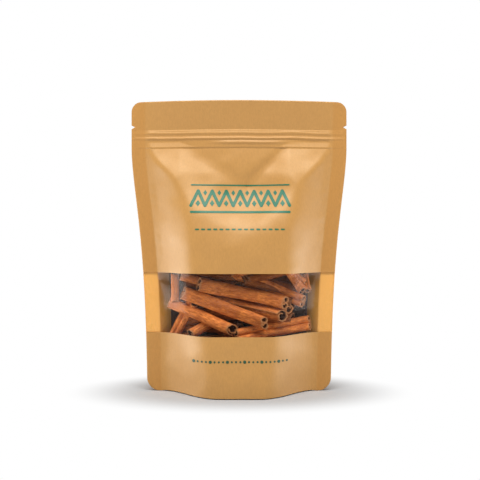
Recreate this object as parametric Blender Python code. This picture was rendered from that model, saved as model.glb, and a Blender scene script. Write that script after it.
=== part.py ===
"""Stand-up kraft paper pouch of cinnamon sticks, with a clear window band across its front.

Axes: +X to the pouch's right as seen from the front, +Y to the back, +Z up. The origin is on the
ground, at the middle of the foot. Lengths are metres. The shut pouch is solid but for a pocket
behind its window band, where the heap of sticks shows through the film.
"""

import math

import bmesh
import bpy
from mathutils import Vector

# The flat pouch, before it is filled.
FLAT_WIDTH = 0.180
HEIGHT = 0.241
SIDE_SEAL = 0.012
TOP_RADIUS = 0.008
FOOT_RADIUS = 0.011

# The filled pouch.
BULGE = 0.037
FOOT_BULGE = 0.0415
FOOT_HEIGHT = 0.034
SWELL = 0.12
ROOF_FALL = 0.052
ROOF_SLOPE = 0.5
BOW = 0.008
SEAL_HALF = 0.0006
BACK_WALL = 0.0010

# The zip and the tear notches.
ZIP_BOTTOM = 0.203
ZIP_TOP = 0.219
ZIP_LIFT = 0.0008
ZIP_RIDGES = (0.2108, 0.2146)
RIDGE_HEIGHT = 0.0009
RIDGE_HALF = 0.0014
NOTCH_HEIGHT = 0.2203
NOTCH_DEPTH = 0.0028
NOTCH_HALF = 0.0015

# The window band, and the gusset's hollow underneath.
WINDOW_BOTTOM = 0.049
WINDOW_TOP = 0.099
FILM = 0.0004
GAP = 0.0003
GUSSET_DEPTH = 0.003
GUSSET_RIM = 0.0025

# Grid density.
INNER_COLUMNS = 26
STICK_SIDES = 12

# Sticks at the window, front ones first, in millimetres: (x, z) of each end's centre as seen from the
# front, the radius, and how far behind the film the stick lies.
STICKS = (
    ((-56, 76), (-6, 54), 5.2, 0),
    ((-45, 84), (21, 59), 6.0, 0),
    ((-33, 91), (38, 76), 6.0, 1),
    ((-24, 76), (34, 65), 5.4, 8),
    ((-10, 46), (57, 60), 6.0, 2),
    ((-12, 99), (52, 77), 6.2, 10),
    ((26, 108), (52, 86), 4.8, 8),
    ((-20, 79), (39, 70), 4.2, 15),
    ((-60, 103), (-58, 74), 4.2, 1),
    ((-49, 98), (10, 82), 4.6, 6),
    ((-41, 51), (2, 78), 4.8, 8),
    ((-55, 44), (-44, 66), 4.4, 2),
    ((-48, 44), (-36, 66), 4.4, 3),
    ((59, 104), (61, 62), 4.4, 3),
)


def smoothstep(low, high, value):
    share = min(1.0, max(0.0, (value - low) / (high - low)))
    return share * share * (3 - 2 * share)


def blend(first, second, share):
    return first + (second - first) * share


def smooth_min(first, second, reach):
    overlap = max(reach - abs(first - second), 0) / reach
    return min(first, second) - overlap * overlap * reach / 4


def roof(drop):
    """The panel's depth at this distance below the zip: a slope that turns over into a steep front."""
    return smooth_min(ROOF_SLOPE * max(0.0, drop), BULGE, 0.016)


def rise(drop):
    """The bulge that draws the side seals in at this distance below the zip."""
    return BULGE * (1 - math.exp(-max(0.0, drop) / ROOF_FALL))


def inner_half_width(z):
    """Half the width between the side seals: the flat width, less what the bulge takes up."""
    half = FLAT_WIDTH / 2 - SIDE_SEAL
    bulge = rise(ZIP_BOTTOM - z)
    return (half + math.sqrt(half * half - 2.6 * bulge * bulge)) / 2


def outer_half_width(z):
    """Half the pouch's width at this height, with its four round corners."""
    half = inner_half_width(z) + SIDE_SEAL
    radius = FOOT_RADIUS if z < HEIGHT / 2 else TOP_RADIUS
    into_corner = min(radius, max(radius - z, z - (HEIGHT - radius), 0))
    return half - radius + math.sqrt(radius**2 - into_corner**2)


def notched_half_width(z):
    return outer_half_width(z) - NOTCH_DEPTH * max(0, 1 - abs(z - NOTCH_HEIGHT) / NOTCH_HALF)


def x_at(station, z, edge):
    """Stations run -2 at the left edge, -1 to 1 between the side seals, and 2 at the right edge."""
    inner = inner_half_width(z)
    seal = max(0, abs(station) - 1) * (edge(z) - inner)
    return math.copysign(min(1, abs(station)) * inner + seal, station)


def zip_relief(z, across):
    """The thickness of the zip inside and its two ridges, fading out at the side seals."""
    band = smoothstep(ZIP_TOP + 0.002, ZIP_TOP, z) * smoothstep(ZIP_BOTTOM - 0.002, ZIP_BOTTOM, z)
    ridges = sum(max(0, 1 - ((z - ridge) / RIDGE_HALF) ** 2) for ridge in ZIP_RIDGES)
    return (band * ZIP_LIFT + ridges * RIDGE_HEIGHT) * smoothstep(1.0, 0.96, across)


def panel_depth(x, z):
    """How far one panel stands out from the seal's face."""
    across = min(1.0, abs(x) / inner_half_width(z))
    drop = ZIP_BOTTOM - z
    fullness = smoothstep(0.02, 0.11, drop)
    side = BULGE * 1.03 * (1 - across ** blend(1.25, 2.5, fullness))
    body = smooth_min(roof(drop), side, blend(0.004, 0.016, fullness))
    body *= 1 + SWELL * smoothstep(0.11, 0.02, z)
    foot = FOOT_BULGE * (1 + math.cos(math.pi * min(1.0, max(0.0, (across - 0.25) / 0.77)))) / 2
    body = blend(body, foot, smoothstep(FOOT_HEIGHT, 0, z))
    return max(body, 0) + zip_relief(z, across)


def bow(x, z):
    """How far the shut top bows forward, as its middle follows the full body below."""
    along = smoothstep(0.10, 0.20, z) * blend(1.0, 0.6, smoothstep(ZIP_TOP, HEIGHT, z))
    across = min(1.0, abs(x) / (FLAT_WIDTH / 2))
    return BOW * along * (1 - across * across) ** 2


def front_y(x, z, inset=0.0):
    return -bow(x, z) - max(SEAL_HALF + panel_depth(x, z) - inset, 0.0)


def back_y(x, z, inset=0.0):
    return -bow(x, z) + max(SEAL_HALF + panel_depth(x, z) - inset, 0.0)


def spaced(first, last, count):
    return [blend(first, last, i / count) for i in range(count + 1)]


def corner_rows(start, end, count=5):
    """Heights along a round corner from its tangent point to its end, closer together towards the end."""
    return [blend(start, end, math.sin(math.pi / 2 * i / count)) for i in range(count + 1)]


def stations():
    """Columns between the side seals, closer together beside them, and one at each edge."""
    inner = [math.sin(math.pi / 2 * s) for s in spaced(-1, 1, INNER_COLUMNS)]
    return [-2.0] + inner + [2.0]


def pouch_rows():
    zip_rows = [ZIP_BOTTOM - 0.002, ZIP_BOTTOM, 0.2085]
    for ridge in ZIP_RIDGES:
        zip_rows += [ridge - RIDGE_HALF, ridge, ridge + RIDGE_HALF]
    notch = [NOTCH_HEIGHT - NOTCH_HALF, NOTCH_HEIGHT, NOTCH_HEIGHT + NOTCH_HALF]
    rows = corner_rows(FOOT_RADIUS, 0) + corner_rows(HEIGHT - TOP_RADIUS, HEIGHT)
    rows += spaced(FOOT_RADIUS, WINDOW_BOTTOM, 5) + spaced(WINDOW_BOTTOM, WINDOW_TOP, 5)
    rows += spaced(WINDOW_TOP, ZIP_BOTTOM - 0.002, 12) + zip_rows + notch
    return sorted(set(round(row, 6) for row in rows))


def material(name, colour, roughness, alpha=1.0):
    made = bpy.data.materials.new(name)
    made.use_nodes = True
    shader = made.node_tree.nodes["Principled BSDF"]
    shader.inputs["Base Color"].default_value = (*colour, 1)
    shader.inputs["Roughness"].default_value = roughness
    shader.inputs["Alpha"].default_value = alpha
    return made


def add_object(name, mesh_data, collection, surface=None):
    made = bpy.data.objects.new(name, mesh_data)
    collection.objects.link(made)
    if surface:
        mesh_data.materials.append(surface)
    return made


def mark_cutter(cutter):
    cutter.hide_render = True
    cutter.display_type = "WIRE"
    return cutter


def add_sheet(bm, columns, rows, place, facing_front):
    """A grid laid at place(column, row), with its faces to the front or to the back."""
    last_column, last_row = len(columns) - 1, len(rows) - 1
    made = bmesh.ops.create_grid(bm, x_segments=last_column, y_segments=last_row, size=1)
    for vertex in made["verts"]:
        column = columns[round((vertex.co.x + 1) / 2 * last_column)]
        row = rows[round((vertex.co.y + 1) / 2 * last_row)]
        vertex.co = place(column, row)
    faces = list({face for vertex in made["verts"] for face in vertex.link_faces})
    if not facing_front:
        bmesh.ops.reverse_faces(bm, faces=faces)
    return faces


def solid_between(name, columns, rows, front, back, collection, surface=None):
    """The closed solid between a front sheet and a back sheet, whose rims are bridged."""
    bm = bmesh.new()
    add_sheet(bm, columns, rows, front, True)
    add_sheet(bm, columns, rows, back, False)
    rims = [edge for edge in bm.edges if edge.is_boundary]
    bmesh.ops.bridge_loops(bm, edges=rims)
    bmesh.ops.recalc_face_normals(bm, faces=bm.faces)
    mesh_data = bpy.data.meshes.new(name)
    bm.to_mesh(mesh_data)
    bm.free()
    return add_object(name, mesh_data, collection, surface)


def cut(target, cutter, operation="DIFFERENCE"):
    modifier = target.modifiers.new(f"{operation.lower()} {cutter.name}", "BOOLEAN")
    modifier.operation = operation
    modifier.object = mark_cutter(cutter)


def at(y_of, edge, inset=0.0):
    """A place function for solid_between, from a height function for y and an edge function for x."""

    def place(station, z):
        x = x_at(station, z, edge)
        return Vector((x, y_of(x, z, inset), z))

    return place


def make_pouch(parts, cutters, kraft):
    pouch = solid_between(
        "pouch",
        stations(),
        pouch_rows(),
        at(front_y, notched_half_width),
        at(back_y, notched_half_width),
        parts,
        kraft,
    )
    cut(pouch, make_pocket_cutter(cutters))
    cut(pouch, make_gusset_cutter(cutters))
    return pouch


def pocket_back_y(x, z, clearance):
    """The pocket's back: the back panel's inside, or the back seal's face beside it."""
    seal_face = -bow(x, z) - SEAL_HALF + FILM + GAP
    return max(seal_face, back_y(x, z, BACK_WALL)) - clearance


def make_pocket_cutter(cutters):
    """All that lies in front of the back panel over the height of the window band."""
    past_edge = 0.002
    far_front = -0.08
    return solid_between(
        "pocket_cutter",
        stations(),
        spaced(WINDOW_BOTTOM, WINDOW_TOP, 5),
        lambda station, z: Vector((x_at(station, z, lambda h: outer_half_width(h) + past_edge), far_front, z)),
        at(pocket_back_y, lambda h: outer_half_width(h) + past_edge),
        cutters,
    )


def make_gusset_cutter(cutters):
    """The shallow hollow under the pouch, inside the rim that it stands on."""
    below = -0.001
    columns = spaced(-0.88, 0.88, INNER_COLUMNS)
    rows = [below, GUSSET_DEPTH]

    def place(y_of):
        def found(station, z):
            x = station * inner_half_width(0)
            return Vector((x, y_of(x, 0, GUSSET_RIM), z))

        return found

    return solid_between("gusset_cutter", columns, rows, place(front_y), place(back_y), cutters)


def make_window_film(parts, film):
    rows = spaced(WINDOW_BOTTOM + GAP, WINDOW_TOP - GAP, 5)
    return solid_between(
        "window_film",
        stations(),
        rows,
        at(front_y, outer_half_width),
        at(film_back_y, outer_half_width),
        parts,
        film,
    )


def film_back_y(x, z, _inset):
    return front_y(x, z) + FILM


def lay_stick(start, end, radius, setback):
    """A stick's radius and its two end points, laid against the film or the setback behind it."""
    touching = 1.2
    ends = []
    for x, z in (start, end):
        behind_film = FILM + GAP + (radius * touching + setback) / 1000
        x, z = x / 1000, z / 1000
        ends.append(Vector((x, front_y(x, z) + behind_film, z)))
    return ends, radius / 1000


def make_stick(name, ends, radius, collection):
    """One plain stick, as a round bar along its two ends."""
    along = ends[1] - ends[0]
    bm = bmesh.new()
    bmesh.ops.create_cone(
        bm, cap_ends=True, segments=STICK_SIDES, radius1=radius, radius2=radius, depth=along.length
    )
    mesh_data = bpy.data.meshes.new(name)
    bm.to_mesh(mesh_data)
    bm.free()
    stick = add_object(name, mesh_data, collection)
    stick.location = (ends[0] + ends[1]) / 2
    stick.rotation_euler = along.to_track_quat("Z", "Y").to_euler()
    return stick


def make_stick_heap(parts, cutters, bark):
    """The heap in the pocket: a core and the sticks before it, cut to the pocket with a clearance."""
    core_setback = 0.018
    clearance = 0.0005
    spare = 0.001
    inside = 0.985

    def heap_x(station, z):
        return station * inside * inner_half_width(z)

    def core_front(station, z):
        x = heap_x(station, z)
        middle = (front_y(x, z) + back_y(x, z)) / 2
        return Vector((x, min(front_y(x, z) + core_setback, middle), z))

    def core_back(station, z):
        x = heap_x(station, z)
        return Vector((x, pocket_back_y(x, z, clearance - spare), z))

    def bounds_front(station, z):
        x = heap_x(station, z)
        return Vector((x, film_back_y(x, z, 0) + clearance, z))

    def bounds_back(station, z):
        x = heap_x(station, z)
        return Vector((x, pocket_back_y(x, z, clearance), z))

    core_columns = spaced(-0.98, 0.98, INNER_COLUMNS // 2)
    core_rows = spaced(WINDOW_BOTTOM - spare, WINDOW_TOP + spare, 2)
    heap = solid_between("cinnamon_sticks", core_columns, core_rows, core_front, core_back, parts, bark)
    for number, stick in enumerate(STICKS, start=1):
        ends, radius = lay_stick(*stick)
        cut(heap, make_stick(f"stick_{number}", ends, radius, cutters), "UNION")
    columns = spaced(-0.97, 0.97, INNER_COLUMNS)
    rows = spaced(WINDOW_BOTTOM + clearance, WINDOW_TOP - clearance, 4)
    cut(heap, solid_between("heap_bounds", columns, rows, bounds_front, bounds_back, cutters), "INTERSECT")
    return heap


def clear_scene():
    for old in list(bpy.data.objects):
        bpy.data.objects.remove(old, do_unlink=True)


def main():
    clear_scene()
    parts = bpy.data.collections.new("cinnamon_stick_pouch")
    cutters = bpy.data.collections.new("cutters")
    for collection in (parts, cutters):
        bpy.context.scene.collection.children.link(collection)
    kraft = material("kraft_paper", (0.58, 0.33, 0.13), 0.55)
    film = material("clear_film", (0.95, 0.95, 0.93), 0.08, alpha=0.2)
    bark = material("cinnamon_bark", (0.32, 0.12, 0.04), 0.75)
    make_pouch(parts, cutters, kraft)
    make_window_film(parts, film)
    make_stick_heap(parts, cutters, bark)


main()
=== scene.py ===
import math
import random

import bpy
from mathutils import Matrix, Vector, noise


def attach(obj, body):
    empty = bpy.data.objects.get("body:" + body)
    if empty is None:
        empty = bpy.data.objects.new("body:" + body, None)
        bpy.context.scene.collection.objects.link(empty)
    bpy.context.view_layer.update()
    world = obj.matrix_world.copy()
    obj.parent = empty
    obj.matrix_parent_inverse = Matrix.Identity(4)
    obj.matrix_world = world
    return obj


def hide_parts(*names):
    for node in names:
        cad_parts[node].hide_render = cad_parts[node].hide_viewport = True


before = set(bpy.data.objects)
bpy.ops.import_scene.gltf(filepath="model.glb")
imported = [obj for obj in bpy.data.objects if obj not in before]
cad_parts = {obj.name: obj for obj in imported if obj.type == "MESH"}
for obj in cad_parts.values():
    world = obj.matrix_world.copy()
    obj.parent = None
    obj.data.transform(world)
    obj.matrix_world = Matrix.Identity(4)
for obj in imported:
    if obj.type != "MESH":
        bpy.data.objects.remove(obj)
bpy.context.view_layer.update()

# The pouch's form, as in the CAD model (metres).
FLAT_WIDTH = 0.180
HEIGHT = 0.241
SIDE_SEAL = 0.012
TOP_RADIUS = 0.008
FOOT_RADIUS = 0.011
BULGE = 0.037
FOOT_BULGE = 0.0415
FOOT_HEIGHT = 0.034
SWELL = 0.09
ROOF_FALL = 0.052
ROOF_SLOPE = 0.50
BOW = 0.008
SEAL_HALF = 0.0006
ZIP_BOTTOM = 0.203
ZIP_TOP = 0.219
NOTCH_HEIGHT = 0.2203
NOTCH_DEPTH = 0.0028
NOTCH_HALF = 0.0015
WINDOW_BOTTOM = 0.049
WINDOW_TOP = 0.099

# The dent that hangs from the zip: its middle, its reach to each side and its drop. The back has the
# same one further over and shallower.
DENT_X = 0.0065
DENT_LEFT = 0.054
DENT_RIGHT = 0.033
DENT_DROP = 0.030
BACK_DENT_X = -0.012
BACK_DENT_DROP = 0.018
DENT_ANGLE = 38

# How far the header leans forward at its top, and how far the foot's rim sits off the floor.
HEADER_LEAN = 0.0055
FOOT_RIM_LIFT = 0.0008

# How far the print stands off the paper.
INK_LIFT = 0.00022

# Sticks numbered from here up are hidden fillers, painted darker as shade in the heap.
FIRST_FILLER = 100


def smoothstep(low, high, value):
    share = min(1.0, max(0.0, (value - low) / (high - low)))
    return share * share * (3 - 2 * share)


def blend(first, second, share):
    return first + (second - first) * share


def smooth_min(first, second, reach):
    overlap = max(reach - abs(first - second), 0) / reach
    return min(first, second) - overlap * overlap * reach / 4


def smooth_max(first, second, reach):
    return -smooth_min(-first, -second, reach)


def bell(value, centre, half):
    return math.exp(-(((value - centre) / half) ** 2))


def rise(drop):
    return BULGE * (1 - math.exp(-max(0.0, drop) / ROOF_FALL))


def roof(drop):
    """The panel's depth at this distance below the zip: a flat slope that turns over into a steep front."""
    return smooth_min(ROOF_SLOPE * max(0.0, drop), BULGE, 0.016)


def shoulder(across, level):
    """A panel's cross-section where it hangs free: level in the middle, then an even S down to the seal."""
    return (1 + math.cos(math.pi * min(1.0, max(0.0, (across - level) / (1.02 - level))))) / 2


def slackness(z):
    """0 where the sticks press the front out square, 1 near the foot, and in between above the window."""
    return max(smoothstep(0.070, 0.050, z), 0.6 * smoothstep(0.084, 0.099, z) * smoothstep(0.19, 0.15, z))


def inner_half_width(z):
    half = FLAT_WIDTH / 2 - SIDE_SEAL
    bulge = rise(ZIP_BOTTOM - z)
    return (half + math.sqrt(half * half - 2.6 * bulge * bulge)) / 2


def outer_half_width(z):
    half = inner_half_width(z) + SIDE_SEAL
    radius = FOOT_RADIUS if z < HEIGHT / 2 else TOP_RADIUS
    into_corner = min(radius, max(radius - z, z - (HEIGHT - radius), 0))
    return half - radius + math.sqrt(radius**2 - into_corner**2)


def notched_half_width(z):
    return outer_half_width(z) - NOTCH_DEPTH * max(0, 1 - abs(z - NOTCH_HEIGHT) / NOTCH_HALF)


def wrinkle(x, z, size, seed):
    return noise.noise(Vector((x / size, z / size, seed)))


def zip_relief(x, z, across, side):
    """The zip inside: a thick band with a sharp lower edge, two crisp ridges and a softer third."""
    outline = smoothstep(FLAT_WIDTH / 2 - 0.0005, FLAT_WIDTH / 2 - 0.004, abs(x))
    seal = blend(1.0, 0.3, smoothstep(0.94, 1.03, across)) * outline
    band = smoothstep(ZIP_TOP - 0.0012, ZIP_TOP - 0.0028, z) * smoothstep(ZIP_BOTTOM - 0.0009, ZIP_BOTTOM, z)
    sway = 0.0005 * wrinkle(x, 0, 0.03, 3 + side)
    ridge_1 = 0.0006 * max(0, 1 - ((z - sway - 0.2146) / 0.0013) ** 2)
    ridge_2 = 0.0009 * max(0, 1 - ((z - sway - 0.2104) / 0.0012) ** 2)
    ridge_3 = 0.0008 * bell(z - sway, 0.2070, 0.0013)
    ridge_3 = ridge_3 * smoothstep(-0.030, -0.008, x) * smoothstep(0.055, 0.02, x)
    return (band * 0.0007 + ridge_1 + ridge_2 + ridge_3) * seal


def panel_depth(x, z, side):
    """How far a panel stands out from the seal; side is 1 for the front and -1 for the back."""
    half = inner_half_width(z)
    wide = abs(x) / half
    across = min(1.0, wide)
    drop = ZIP_BOTTOM - z
    dent_x, dent_drop = (DENT_X, DENT_DROP) if side > 0 else (BACK_DENT_X, BACK_DENT_DROP)
    soften = 0.0015 + 0.016 * smoothstep(0.020, 0.045, drop)
    from_dent = math.hypot(x - dent_x, soften) - soften
    dent_half = DENT_LEFT if x < dent_x else DENT_RIGHT
    dent = dent_drop * max(0.0, 1 - from_dent / dent_half)
    below_dent = drop - dent
    lowered = smooth_max(0.28 * min(drop, DENT_DROP), below_dent, 0.010)
    lowered += dent * smoothstep(0.0, 0.060, below_dent)
    fullness = smoothstep(0.02, 0.11, drop)
    side_wall = BULGE * 1.03 * (1 - across ** blend(1.25, 2.5, fullness))
    taut = smooth_min(roof(lowered), side_wall, blend(0.0022, 0.016, fullness))
    level = blend(0.33, 0.50, smoothstep(WINDOW_BOTTOM, WINDOW_TOP, z))
    body = 1.03 * taut
    if side > 0:
        body = blend(body, 0.95 * roof(lowered) * shoulder(across, level), slackness(z))
    body *= 1 + SWELL * smoothstep(0.11, 0.02, z)
    arm = abs(below_dent) * math.cos(math.radians(DENT_ANGLE))
    crease = (0.0010 if x > dent_x else 0.0005) * bell(arm, 0.001, 0.0038)
    body -= crease * smoothstep(dent_half * 1.15, dent_half * 0.7, abs(x - dent_x)) * (drop > 0)
    foot = FOOT_BULGE * shoulder(across, 0.25)
    body = blend(body, foot, smoothstep(FOOT_HEIGHT, 0, z))
    tuck = smoothstep(0.56, 0.34, across + 0.004 / 0.02 * (z / 0.02)) * smoothstep(0.022, 0.0, z)
    body -= 0.0012 * tuck
    inside = smoothstep(1.0, 0.9, across) * smoothstep(0.0, 0.012, drop)
    soft = 0.0011 * wrinkle(x, z, 0.034, 7.3 * side) + 0.0005 * wrinkle(x, z, 0.013, 4.1 * side)
    soft += 0.0007 * wrinkle(x * 2.2, z * 0.5, 0.02, 1.7 * side) * smoothstep(0.06, 0.02, z)
    body += soft * inside * smoothstep(0.0, 0.02, z)
    pucker = 0.0007 * abs(wrinkle(x * 0.6, z * 1.6, 0.012, 9.9 * side)) * bell(across, 0.955, 0.035)
    body += pucker * smoothstep(0.19, 0.15, z) * smoothstep(0.01, 0.03, z)
    return max(body, 0) + zip_relief(x, z, wide, side)


def bow(x, z):
    along = smoothstep(0.10, 0.20, z) * blend(1.0, 0.95, smoothstep(ZIP_TOP, HEIGHT, z))
    across = min(1.0, abs(x) / (FLAT_WIDTH / 2))
    lean = HEADER_LEAN * max(0.0, z - ZIP_TOP + 0.004) / 0.026 * (1 - across**6)
    ripple = lean + 0.0005 * wrinkle(x, z, 0.05, 2.0) * smoothstep(0.215, 0.235, z)
    return BOW * along * (1 - across * across) ** 2 + ripple


def rim(x, z, edge):
    """Near 0 at the pouch's outline, where its two sheets meet, and 1 from half a millimetre inside."""
    return smoothstep(0.0, 0.0006, min(edge(z) - abs(x), HEIGHT - z))


def sheet_y(x, z, side, edge=outer_half_width):
    stand_off = SEAL_HALF * rim(x, z, edge) + panel_depth(x, z, side)
    return -bow(x, z) - side * stand_off


def spaced(first, last, count):
    return [blend(first, last, i / count) for i in range(count + 1)]


def x_at(station, z, edge):
    inner = inner_half_width(z)
    seal = max(0, abs(station) - 1) * (edge(z) - inner)
    return math.copysign(min(1, abs(station)) * inner + seal, station)


def stations(inner_count=150, seal_count=10):
    """Columns across a sheet: -1 to 1 between the seals, closer together near them, and on to 2 over each."""
    seal = [1 + i / seal_count for i in range(1, seal_count)] + [1.965, 2.0]
    even = spaced(-1, 1, inner_count)
    inner = [math.sin(math.pi / 2 * s * 0.999) / math.sin(math.pi / 2 * 0.999) for s in even]
    inner = [blend(a, b, 0.45) for a, b in zip(inner, even)]
    return [-s for s in reversed(seal)] + inner + seal


def rows_between(bottom, top, step):
    """Heights of a sheet's rows, with more at the notches, the round corners and the zip."""
    count = max(2, round((top - bottom) / step))
    rows = spaced(bottom, top, count)
    extra = [NOTCH_HEIGHT + NOTCH_HALF * i / 2 for i in range(-2, 3)]
    extra += [HEIGHT - TOP_RADIUS * (1 - math.sin(math.pi / 2 * i / 14)) for i in range(15)]
    extra += [FOOT_RADIUS * (1 - math.sin(math.pi / 2 * i / 14)) for i in range(15)]
    extra += [0.2005 + 0.0005 * i for i in range(44)]
    rows += [row for row in extra if bottom < row < top]
    kept = []
    for row in sorted(rows):
        if not kept or row - kept[-1] > 0.00012:
            kept.append(row)
    kept[-1] = top
    return kept


# ---------------------------------------------------------------- meshes

def add_mesh(name, points, faces, surface):
    data = bpy.data.meshes.new(name)
    data.from_pydata(points, [], faces)
    data.validate()
    data.polygons.foreach_set("use_smooth", [True] * len(data.polygons))
    data.materials.append(surface)
    made = bpy.data.objects.new(name, data)
    bpy.context.scene.collection.objects.link(made)
    return made


def add_values(piece, name, values):
    layer = piece.data.attributes.new(name, "FLOAT", "POINT")
    layer.data.foreach_set("value", values)


def grid_faces(columns, rows, flip=False):
    faces = []
    for j in range(rows - 1):
        for i in range(columns - 1):
            a = j * columns + i
            face = (a, a + 1, a + columns + 1, a + columns)
            faces.append(tuple(reversed(face)) if flip else face)
    return faces


def foot_lift(x, z):
    """The rim between the round corners sits a little off the floor."""
    return FOOT_RIM_LIFT * smoothstep(0.068, 0.060, abs(x)) * smoothstep(0.010, 0.0, z)


def seal_mask(x, z):
    """1 on the side seals and 0 between them, with a slightly wandering inner line."""
    inner = inner_half_width(z) + 0.0003 * wrinkle(x, z, 0.008, 5.5)
    return smoothstep(-0.0003, 0.0004, abs(x) - inner)


def add_sheet(name, bottom, top, side, surface, step=0.0011, inset=0.0, edge=notched_half_width):
    columns, rows = stations(), rows_between(bottom, top, step)
    points, seal = [], []
    for z in rows:
        for station in columns:
            x = x_at(station, z, edge)
            points.append((x, sheet_y(x, z, side, edge) + side * inset, z + foot_lift(x, z)))
            seal.append(seal_mask(x, z))
    sheet = add_mesh(name, points, grid_faces(len(columns), len(rows), side < 0), surface)
    add_values(sheet, "seal", seal)
    return sheet


def add_gusset(name, surface):
    """The folded bottom: sealed to both panels at the rim and arched up to its middle fold."""
    columns, depth_steps = spaced(-0.999, 0.999, 90), 44
    points, seal = [], []
    for j in range(depth_steps + 1):
        share = j / depth_steps
        for station in columns:
            x = station * inner_half_width(0)
            reach = SEAL_HALF + panel_depth(x, 0, 1)
            y = blend(-reach, reach, share)
            inward = reach - abs(y)
            arch = smoothstep(0.0035, 0.016, inward) * 0.0045 + 0.0012 * bell(y, 0, 0.0012)
            arch += 0.0005 * wrinkle(x, y, 0.02, 6.0) * smoothstep(0.004, 0.01, inward)
            points.append((x, y, 0.0001 + foot_lift(x, 0) + max(0.0, arch)))
            seal.append(smoothstep(0.0045, 0.0035, inward))
    gusset = add_mesh(name, points, grid_faces(len(columns), depth_steps + 1, True), surface)
    add_values(gusset, "seal", seal)
    return gusset


# ---------------------------------------------------------------- materials

class Nodes:
    """A node tree with short calls to add and join nodes."""

    def __init__(self, name):
        self.material = bpy.data.materials.new(name)
        self.material.use_nodes = True
        self.tree = self.material.node_tree
        self.shader = self.tree.nodes["Principled BSDF"]

    def add(self, kind, **settings):
        node = self.tree.nodes.new(kind)
        for key, value in settings.items():
            setattr(node, key, value)
        return node

    def join(self, source, target):
        self.tree.links.new(source, target)

    def set(self, **values):
        for key, value in values.items():
            self.shader.inputs[key.replace("_", " ")].default_value = value

    def attribute(self, name):
        return self.add("ShaderNodeAttribute", attribute_name=name).outputs["Fac"]

    def noise(self, vector, scale, detail, roughness):
        node = self.add("ShaderNodeTexNoise")
        node.inputs["Scale"].default_value = scale
        node.inputs["Detail"].default_value = detail
        node.inputs["Roughness"].default_value = roughness
        self.join(vector, node.inputs["Vector"])
        return node.outputs["Fac"]

    def object_space(self, scale=(1, 1, 1)):
        place = self.add("ShaderNodeTexCoord").outputs["Object"]
        node = self.add("ShaderNodeMapping")
        node.inputs["Scale"].default_value = scale
        self.join(place, node.inputs["Vector"])
        return node.outputs["Vector"]

    def mix(self, share, first, second, mode="MIX"):
        node = self.add("ShaderNodeMix", data_type="RGBA", blend_type=mode)
        for socket, value in ((node.inputs[0], share), (node.inputs[6], first), (node.inputs[7], second)):
            if isinstance(value, (int, float)):
                socket.default_value = value
            elif isinstance(value, tuple):
                socket.default_value = (*value, 1)
            else:
                self.join(value, socket)
        return node.outputs[2]

    def spread(self, value, low, high, to_low=0.0, to_high=1.0):
        node = self.add("ShaderNodeMapRange", clamp=True)
        self.join(value, node.inputs["Value"])
        for key, number in (("From Min", low), ("From Max", high), ("To Min", to_low), ("To Max", to_high)):
            node.inputs[key].default_value = number
        return node.outputs["Result"]

    def bump(self, height, strength, distance):
        node = self.add("ShaderNodeBump")
        node.inputs["Strength"].default_value = strength
        node.inputs["Distance"].default_value = distance
        self.join(height, node.inputs["Height"])
        self.join(node.outputs["Normal"], self.shader.inputs["Normal"])


def scaled(colour, factor):
    return tuple(min(1, c * factor) for c in colour)


def kraft_material(name, base, seal_tint, roughness, specular=0.5):
    """Brown paper with fine fibres, soft clouds and a few dark flecks, tinted where it is sealed."""
    n = Nodes(name)
    fibre = n.noise(n.object_space((1, 1, 0.35)), 900, 4, 0.6)
    fleck = n.noise(n.object_space((0.5, 1, 1.6)), 420, 2, 0.5)
    cloud = n.noise(n.object_space(), 60, 3, 0.5)
    clouded = tuple(c * f for c, f in zip(base, (0.95, 0.92, 0.88)))
    colour = n.mix(n.spread(fibre, 0.3, 0.7), scaled(base, 0.93), scaled(base, 1.06))
    colour = n.mix(n.spread(cloud, 0.3, 0.7, 0, 0.35), colour, clouded)
    colour = n.mix(n.spread(fleck, 0.70, 0.78, 0, 0.35), colour, scaled(base, 0.62))
    colour = n.mix(n.attribute("seal"), colour, n.mix(1.0, colour, seal_tint, "MULTIPLY"))
    n.join(colour, n.shader.inputs["Base Color"])
    n.join(n.spread(cloud, 0.3, 0.7, roughness - 0.04, roughness + 0.05), n.shader.inputs["Roughness"])
    n.set(Specular_IOR_Level=specular, Specular_Tint=(1.0, 0.86, 0.66, 1))
    n.bump(n.noise(n.object_space(), 700, 5, 0.6), 0.10, 0.0004)
    return n.material


def film_material(name):
    """A faint sheen over what lies behind it."""
    n = Nodes(name)
    n.set(Base_Color=(0.34, 0.30, 0.28, 1), Metallic=1.0, Roughness=0.2, Alpha=0.05)
    return n.material


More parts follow.
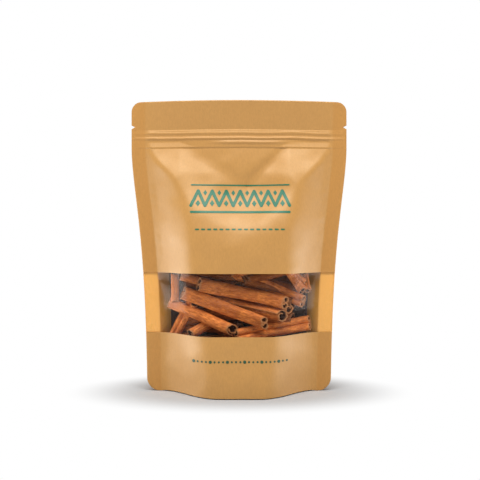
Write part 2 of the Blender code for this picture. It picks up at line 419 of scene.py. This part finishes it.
def bark_material(name):
    n = Nodes(name)
    along, around, seed = (n.attribute(key) for key in ("along", "around", "seed"))
    joined = n.add("ShaderNodeCombineXYZ")
    for source, target in zip((along, around, seed), joined.inputs):
        n.join(source, target)
    stretch = n.add("ShaderNodeMapping")
    stretch.inputs["Scale"].default_value = (0.34, 1.0, 3.7)
    n.join(joined.outputs[0], stretch.inputs["Vector"])
    streak = n.noise(stretch.outputs[0], 0.62, 6, 0.72)
    fine = n.noise(stretch.outputs[0], 1.9, 5, 0.75)
    patch = n.noise(joined.outputs[0], 0.11, 3, 0.5)
    outer = n.mix(n.spread(streak, 0.36, 0.62), (0.36, 0.086, 0.014), (0.94, 0.300, 0.062))
    outer = n.mix(n.spread(fine, 0.56, 0.70, 0, 0.6), outer, (0.88, 0.40, 0.13))
    outer = n.mix(n.spread(fine, 0.42, 0.30, 0, 0.6), outer, (0.16, 0.036, 0.007))
    outer = n.mix(n.spread(patch, 0.38, 0.62, 0, 0.55), outer, (0.40, 0.098, 0.026))
    # The inner face: darker bark, made near black as painted shade that stands for the shadow in the curls'
    # hollows.
    inner = n.mix(n.spread(streak, 0.3, 0.7), (0.020, 0.006, 0.002), (0.080, 0.022, 0.006))
    cut = n.mix(n.spread(fine, 0.3, 0.7), (0.32, 0.11, 0.032), (0.66, 0.29, 0.11))
    colour = n.mix(n.attribute("inside"), outer, inner)
    colour = n.mix(n.attribute("cut"), colour, cut)
    # Each stick's own tone multiplies its colour; for the hidden fillers it is a painted shade that darkens
    # them as the heap's shadow.
    tone_and_shade = n.mix(n.attribute("tone_and_shade"), (0.16, 0.12, 0.10), (1.0, 1.0, 1.0))
    colour = n.mix(1.0, colour, tone_and_shade, "MULTIPLY")
    n.join(colour, n.shader.inputs["Base Color"])
    n.set(Roughness=0.62, Specular_IOR_Level=0.15)
    n.bump(n.mix(0.5, streak, fine), 0.5, 0.0006)
    return n.material


def pile_material(name):
    n = Nodes(name)
    streak = n.noise(n.object_space((0.3, 1, 1)), 240, 4, 0.6)
    # Near-black brown: painted shade for the dark gaps deep in the heap.
    colour = n.mix(n.spread(streak, 0.35, 0.65), (0.012, 0.004, 0.0015), (0.05, 0.016, 0.005))
    n.join(colour, n.shader.inputs["Base Color"])
    n.set(Roughness=0.8)
    n.bump(streak, 0.6, 0.002)
    return n.material


def ink_material(name, colour):
    n = Nodes(name)
    grain = n.noise(n.object_space(), 900, 3, 0.6)
    shade = n.mix(n.spread(grain, 0.35, 0.65), scaled(colour, 0.86), scaled(colour, 1.1))
    n.join(shade, n.shader.inputs["Base Color"])
    n.set(Roughness=0.45)
    return n.material


KRAFT = kraft_material("kraft", (0.520, 0.262, 0.070), (0.98, 0.92, 0.79), roughness=0.46, specular=0.8)
LINING = kraft_material("kraft_lining", (0.92, 0.46, 0.11), (1.0, 1.0, 1.0), roughness=0.3)
FILM = film_material("clear_film")
BARK = bark_material("cinnamon_bark")
PILE = pile_material("pile_shade")
INK = ink_material("green_ink", (0.010, 0.16, 0.082))
DARK_INK = ink_material("dark_green_ink", (0.022, 0.085, 0.040))


# ---------------------------------------------------------------- sticks

def spiral_path(lobe, turns, decay, start, count):
    """From the bottom of a lobe round its outer side and inwards, as (x, y) in millimetres."""
    path = []
    for i in range(count):
        turn = turns * i / (count - 1)
        radius = lobe * (1 - decay * turn ** 0.9)
        angle = math.radians(start) + 2 * math.pi * turn
        path.append((radius * math.cos(angle), radius * math.sin(angle)))
    return path


def section(kind, radius, rng, count=44):
    """The middle line of a rolled bark section."""
    if kind == "double":
        lobe = radius * rng.uniform(0.56, 0.60)
        right = spiral_path(lobe, rng.uniform(0.98, 1.18), 0.44, -90, count // 2 + 1)
        left = spiral_path(lobe, rng.uniform(0.92, 1.12), 0.44, -90, count // 2 + 1)
        shift = radius - lobe
        path = [(-x - shift, y) for x, y in reversed(left)]
        for i in range(1, 5):
            share = i / 5
            path.append((blend(-shift, shift, share), -lobe + 0.35 * math.sin(math.pi * share)))
        return path + [(x + shift, y) for x, y in right]
    if kind == "open":
        first = 90 + rng.uniform(40, 70) / 2
        path = spiral_path(radius, 0.62, 0.10, first, count // 2)
        for i in range(1, count // 2):
            share = i / (count // 2 - 1)
            angle = math.radians(first) + 2 * math.pi * (0.62 + 0.62 * share)
            reach = radius * blend(0.90, 0.42, share ** 0.8)
            path.append((reach * math.cos(angle), reach * math.sin(angle)))
        return path
    return spiral_path(radius, rng.uniform(1.15, 1.4), 0.40, 60, count)


def bark_stick(kind, start, end, radius_start, radius_end, roll, seed, thickness=0.78, rows=46):
    """Points, faces and surface values of one stick between two end points, all in millimetres."""
    rng = random.Random(seed)
    start, end = Vector(start), Vector(end)
    axis = (end - start).normalized()
    length = (end - start).length
    across = axis.cross(Vector((0, 0, 1))).normalized()
    up = across.cross(axis).normalized()
    bend_across, bend_up = rng.uniform(-1.0, 1.0), rng.uniform(-0.9, 0.9)
    twist = math.radians(rng.uniform(-14, 14))
    line = section(kind, radius_start, rng)
    count = len(line)
    sides = []
    for i in range(count):
        before, after = Vector(line[max(0, i - 1)]), Vector(line[min(count - 1, i + 1)])
        along_line = (after - before).normalized()
        taper = smoothstep(0, 3, i) * smoothstep(0, 3, count - 1 - i)
        half = thickness / 2 * blend(0.35, 1.0, taper)
        sides.append((Vector((along_line.y, -along_line.x)), half))
    loop = [(i, 1) for i in range(count)] + [(i, -1) for i in reversed(range(count))]
    points, along, around, inside, cut = [], [], [], [], []
    offset_seed = seed * 1.37
    for j in range(rows + 1):
        t = j / rows
        size = blend(1.0, radius_end / radius_start, t)
        size *= 1 + 0.05 * noise.noise(Vector((t * 2.4, offset_seed, 0)))
        sag = 4 * t * (1 - t)
        wander_a = 0.35 * noise.noise(Vector((t * 3.1, offset_seed, 5)))
        wander_b = 0.35 * noise.noise(Vector((t * 3.1, offset_seed, 9)))
        centre = start.lerp(end, t)
        centre = centre + across * (bend_across * sag + wander_a) + up * (bend_up * sag + wander_b)
        angle = math.radians(roll) + twist * (t - 0.5)
        cos, sin = math.cos(angle), math.sin(angle)
        end_reach = min(t, 1 - t) * rows
        slant = 0.8 * smoothstep(0.5, 1.0, t) - 0.5 * smoothstep(0.5, 0.0, t)
        for i, sign in loop:
            normal, half = sides[i]
            relief = 0.10 * noise.noise(Vector((i * 0.55, t * length * 0.05, offset_seed)))
            relief += 0.16 * noise.noise(Vector((i * 0.16, t * length * 0.10, offset_seed + 4)))
            flat = Vector(line[i]) * size + normal * (sign * half + relief)
            x, y = flat.x * cos - flat.y * sin, flat.x * sin + flat.y * cos
            ragged = 0.7 * noise.noise(Vector((i * 0.35, offset_seed, 2 + (t > 0.5))))
            ragged *= 1 - min(1, end_reach / 3)
            off = across * x + up * y
            point = centre + off + axis * (ragged + slant * off.y)
            points.append(tuple(c / 1000 for c in point))
            along.append(t * length)
            around.append(i * 1.2)
            inside.append(0.0 if sign > 0 else 1.0)
            cut.append(1.0 if end_reach < 0.3 or i in (0, count - 1) else 0.0)
    faces = []
    around_count = len(loop)
    for j in range(rows):
        for i in range(around_count):
            a, b = j * around_count + i, j * around_count + (i + 1) % around_count
            faces.append((a, b, b + around_count, a + around_count))
    for j, flip in ((0, True), (rows, False)):
        base = j * around_count
        for i in range(count - 1):
            face = (base + i, base + i + 1, base + around_count - 2 - i, base + around_count - 1 - i)
            faces.append(tuple(reversed(face)) if flip else face)
    values = {"along": along, "around": around, "inside": inside, "cut": cut}
    values["seed"] = [float(seed)] * len(points)
    # Seen sticks get a tone that varies at random; the fillers get 0.3, a painted shade.
    values["tone_and_shade"] = [0.88 + 0.12 * rng.random() if seed < FIRST_FILLER else 0.3] * len(points)
    return points, faces, values


def add_sticks(name, sticks, surface):
    points, faces, values = [], [], {}
    for stick in sticks:
        some_points, some_faces, some_values = bark_stick(*stick)
        shift = len(points)
        points += some_points
        faces += [tuple(i + shift for i in face) for face in some_faces]
        for key, numbers in some_values.items():
            values.setdefault(key, []).extend(numbers)
    made = add_mesh(name, points, faces, surface)
    made.data.set_sharp_from_angle(angle=math.radians(50))
    for key, numbers in values.items():
        add_values(made, key, numbers)
    return made


# kind, one end, the other end, the radius at each, roll in degrees, seed (millimetres)
SEEN_STICKS = (
    ("single", (-58, -6, 75), (-5, -27, 54), 4.8, 4.9, 200, 11),
    ("double", (-46, -16, 83), (21, -27, 59), 6.3, 5.2, 62, 12),
    ("double", (-33, -20, 90), (38, -22, 75), 5.8, 5.1, 84, 13),
    ("open", (-27, -13, 77), (35, -20, 64), 4.8, 4.9, 250, 14),
    ("single", (-19, -6, 79), (41, -12, 69), 3.9, 3.9, 30, 15),
    ("double", (-6, -16, 100), (53, -7, 75), 5.6, 5.2, 250, 16),
    ("open", (36, -15, 108), (53, -7, 84), 4.3, 4.3, 20, 17),
    ("double", (-2, -25, 48), (59, -2, 57), 6.2, 6.2, 290, 18),
    ("single", (-14, -14, 48), (25, -14, 54), 3.9, 3.9, 70, 19),
    ("double", (-38, -13, 76), (-57, 0, 42), 5.8, 4.6, 90, 20),
    ("open", (-40, -16, 49), (19, -8, 77), 4.0, 4.0, 180, 21),
    ("single", (-33, -19, 43), (22, -14, 48), 4.3, 4.3, 40, 22),
    ("single", (-49, -13, 97), (11, -10, 79), 3.8, 3.9, 140, 23),
    ("double", (-44, -7, 103), (21, -6, 92), 5.4, 5.2, 60, 24),
    ("single", (-53.5, -9, 99), (-53, -11, 74), 3.6, 3.9, 20, 25),
    ("single", (54, -7, 99), (57, -5, 84), 3.1, 3.0, 300, 26),
    ("open", (44, -14, 100), (55, -10, 91), 1.7, 1.5, 150, 27),
)

# The same for those under the window's lower edge, which only show from above.
LOW_STICKS = (
    ("double", (-50, -8, 40), (8, -28, 42), 5.0, 5.0, 80, 28),
    ("single", (12, -27, 41), (50, -7, 40), 5.0, 4.6, 20, 29),
    ("double", (-50, 1, 45), (-14, -4, 46), 4.8, 4.6, 200, 30),
    ("single", (20, -3, 45), (56, 2, 45), 4.4, 4.2, 120, 31),
)


def filler_sticks(seed):
    """Layers of sticks behind those at the window, lying much the same way."""
    rng = random.Random(seed)
    found = []
    for layer, back in enumerate((19, 30)):
        for level in range(6):
            z = 42 + 11.5 * level + rng.uniform(-2, 2) + 5 * layer
            for hand in (-1, 1):
                x = hand * rng.uniform(23, 26)
                tilt = math.radians(rng.uniform(-16, 12))
                reach = rng.uniform(21, 24)
                ends = []
                for way in (-1, 1):
                    end_x, end_z = x + way * reach * math.cos(tilt), z - way * reach * math.sin(-tilt)
                    wall = panel_depth(end_x / 1000, end_z / 1000, 1) * 1000
                    ends.append((end_x, min(back - wall, wall - 9.5), end_z))
                kind = rng.choice(("double", "single", "open"))
                radius = rng.uniform(4.6, 6.0)
                roll, number = rng.uniform(0, 360), FIRST_FILLER + len(found)
                found.append((kind, *ends, radius, radius * 0.95, roll, number, 1.1, 18))
    return found


def add_pile_shade(name, surface):
    """A near-black sheet in the middle of the heap, painted shade where no one stick can be made out."""
    columns, rows = spaced(-0.86, 0.86, 60), spaced(0.040, 0.118, 40)
    points = []
    for z in rows:
        for station in columns:
            x = station * inner_half_width(z)
            wall = panel_depth(x, z, 1)
            behind = blend(0.010, min(0.036, wall * 1.15), smoothstep(0.040, 0.056, z))
            y = -wall + min(wall * 1.15, behind) + 0.002 * wrinkle(x, z, 0.008, 8.0)
            points.append((x, y, z))
    return add_mesh(name, points, grid_faces(len(columns), len(rows)), surface)


# ---------------------------------------------------------------- print

class Print:
    """Flat shapes laid on the front panel, as outlines in x and z (millimetres)."""

    def __init__(self):
        self.points = []
        self.faces = []

    def put(self, x, z):
        self.points.append((x / 1000, sheet_y(x / 1000, z / 1000, 1) - INK_LIFT, z / 1000))

    def patch(self, place, u_count, v_count):
        """A grid of place(u, v) with u and v from 0 to 1."""
        base = len(self.points)
        for j in range(v_count + 1):
            for i in range(u_count + 1):
                self.put(*place(i / u_count, j / v_count))
        for face in grid_faces(u_count + 1, v_count + 1):
            self.faces.append(tuple(base + i for i in face))

    def bar(self, start, end, half):
        """A straight stroke with round ends."""
        start, end = Vector(start), Vector(end)
        along = end - start
        length = along.length
        along.normalize()
        side = Vector((-along.y, along.x))

        def place(u, v):
            s = blend(-half, length + half, u)
            over = max(0, -s, s - length)
            width = math.sqrt(max(0, half * half - over * over))
            middle = start + along * s + side * width * (2 * v - 1)
            return middle.x, middle.y

        self.patch(place, max(6, int(length / 0.9) + 6), 4)

    def lozenge(self, centre, half_width, half_height):
        def place(u, v):
            return centre[0] + half_width * (u + v - 1), centre[1] + half_height * (v - u)

        self.patch(place, 4, 4)

    def disc(self, centre, radius):
        half = radius / 2

        def place(u, v):
            angle = math.radians(blend(0, 360, u))
            reach = half + half * (1 - 2 * v)
            return centre[0] + reach * math.cos(angle), centre[1] + reach * math.sin(angle)

        self.patch(place, 40, 2)

    def build(self, name, surface):
        return add_mesh(name, self.points, self.faces, surface)


def add_prints():
    """A zigzag border with small lozenges, a broken rule under it, and a dotted line low down."""
    mark, small, low = Print(), Print(), Print()
    pitch, level, reach = 11.4, 160.0, 6.2
    left, right = -38.9, 40.9
    for i in range(7):
        x = 1.0 + pitch * (i - 3.5)
        mark.bar((x, level - reach), (x + pitch / 2, level + reach), 1.25)
        mark.bar((x + pitch / 2, level + reach), (x + pitch, level - reach), 1.25)
        mark.lozenge((x + pitch / 2, level - 4.2), 1.9, 2.7)
        if i:
            mark.lozenge((x, level + 4.6), 1.6, 2.3)
    mark.bar((left, 171.0), (right, 171.0), 0.55)
    mark.bar((left, 148.6), (right, 148.6), 0.9)
    for i in range(15):
        x = -33.6 + 4.9 * i
        small.bar((x - 1.1, 134.5), (x + 1.1, 134.5), 0.62)
    for i in range(23):
        x = -36.3 + 3.4 * i
        low.disc((x, 29.5), 0.8 if i % 4 else 1.25)
    return [
        mark.build("print_border", INK),
        small.build("print_rule", INK),
        low.build("print_low_line", DARK_INK),
    ]


# ---------------------------------------------------------------- the object

pouch_pieces = [
    add_sheet("pouch_front_upper", WINDOW_TOP, HEIGHT, 1, KRAFT),
    add_sheet("pouch_front_lower", 0.0, WINDOW_BOTTOM, 1, KRAFT),
    add_sheet("pouch_back", 0.0, HEIGHT, -1, KRAFT),
    add_sheet("pouch_lining", 0.026, 0.124, -1, LINING, step=0.002, inset=0.00025, edge=outer_half_width),
    add_gusset("pouch_gusset", KRAFT),
] + add_prints()
film = add_sheet("window_film_skin", WINDOW_BOTTOM - 0.002, WINDOW_TOP + 0.002, 1, FILM, inset=0.00012,
                 edge=outer_half_width)
everything = list(SEEN_STICKS + LOW_STICKS) + filler_sticks(5)
stick_pieces = [
    add_sticks(f"sticks_{kind}", [stick for stick in everything if stick[0] == kind], BARK)
    for kind in ("double", "single", "open")
]
stick_pieces.append(add_pile_shade("pile_painted_shade", PILE))

for group, node, slot in ((pouch_pieces, "pouch", "kraft"), ([film], "window_film", "film"),
                          (stick_pieces, "cinnamon_sticks", "bark")):
    for piece in group:
        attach(piece, "root")
        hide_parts(node)


# ---------------------------------------------------------------- floor, lights, camera

def floor_material():
    """White paper painted grey near the pouch as a soft shadow, which real shadows darken further, fading to
    plain glowing white further out.
    """
    n = Nodes("floor")
    # The grey base is a painted shadow round the pouch; the ellipse below fades it out to emitted white.
    n.set(Base_Color=(0.46, 0.46, 0.46, 1), Roughness=1.0, Specular_IOR_Level=0.0)
    place = n.object_space((1 / 0.140, 1 / 0.092, 0))
    reach = n.add("ShaderNodeVectorMath", operation="LENGTH")
    n.join(place, reach.inputs[0])
    glow = n.add("ShaderNodeEmission")
    glow.inputs["Strength"].default_value = 1.0
    mixed = n.add("ShaderNodeMixShader")
    fade = n.spread(reach.outputs["Value"], 0.5, 1.05)
    fade.node.interpolation_type = "SMOOTHSTEP"
    n.join(fade, mixed.inputs[0])
    n.join(n.shader.outputs[0], mixed.inputs[1])
    n.join(glow.outputs[0], mixed.inputs[2])
    n.join(mixed.outputs[0], n.tree.nodes["Material Output"].inputs["Surface"])
    return n.material


floor_corners = [(-4, -2, 0), (4, -2, 0), (4, 8, 0), (-4, 8, 0)]
floor = add_mesh("floor", floor_corners, [(0, 1, 2, 3)], floor_material())


def area_light(name, place, target, size, power):
    data = bpy.data.lights.new(name, "AREA")
    data.shape = "RECTANGLE"
    data.size, data.size_y = size
    data.energy = power
    lamp = bpy.data.objects.new(name, data)
    bpy.context.scene.collection.objects.link(lamp)
    lamp.location = place
    lamp.rotation_euler = (Vector(target) - Vector(place)).to_track_quat("-Z", "Y").to_euler()


area_light("key", (0.0, -0.60, 1.22), (0, -0.02, 0.12), (1.3, 0.5), 18.9)
area_light("left", (-0.50, 0.08, 0.03), (0, 0, 0.03), (0.50, 0.20), 2.3)
area_light("right", (0.50, 0.08, 0.03), (0, 0, 0.03), (0.50, 0.20), 1.55)

world = bpy.data.worlds.new("studio")
world.use_nodes = True
tree = world.node_tree
background = tree.nodes["Background"]
background.inputs["Color"].default_value = (1, 1, 1, 1)
path = tree.nodes.new("ShaderNodeLightPath")
level = 0.33
for ray, strength in (("Is Glossy Ray", 0.15), ("Is Camera Ray", 1.0)):
    chosen = tree.nodes.new("ShaderNodeMix")
    tree.links.new(path.outputs[ray], chosen.inputs[0])
    if isinstance(level, float):
        chosen.inputs[2].default_value = level
    else:
        tree.links.new(level, chosen.inputs[2])
    chosen.inputs[3].default_value = strength
    level = chosen.outputs[0]
tree.links.new(level, background.inputs["Strength"])
bpy.context.scene.world = world

camera_data = bpy.data.cameras.new("camera")
camera_data.lens = 60.9
camera_data.sensor_width = 36
camera = bpy.data.objects.new("camera", camera_data)
camera.location = (0.0008, -0.680, 0.126)
camera.rotation_euler = (math.radians(90), 0, 0)
bpy.context.scene.collection.objects.link(camera)
scene = bpy.context.scene
scene.camera = camera
scene.view_settings.view_transform = "Standard"
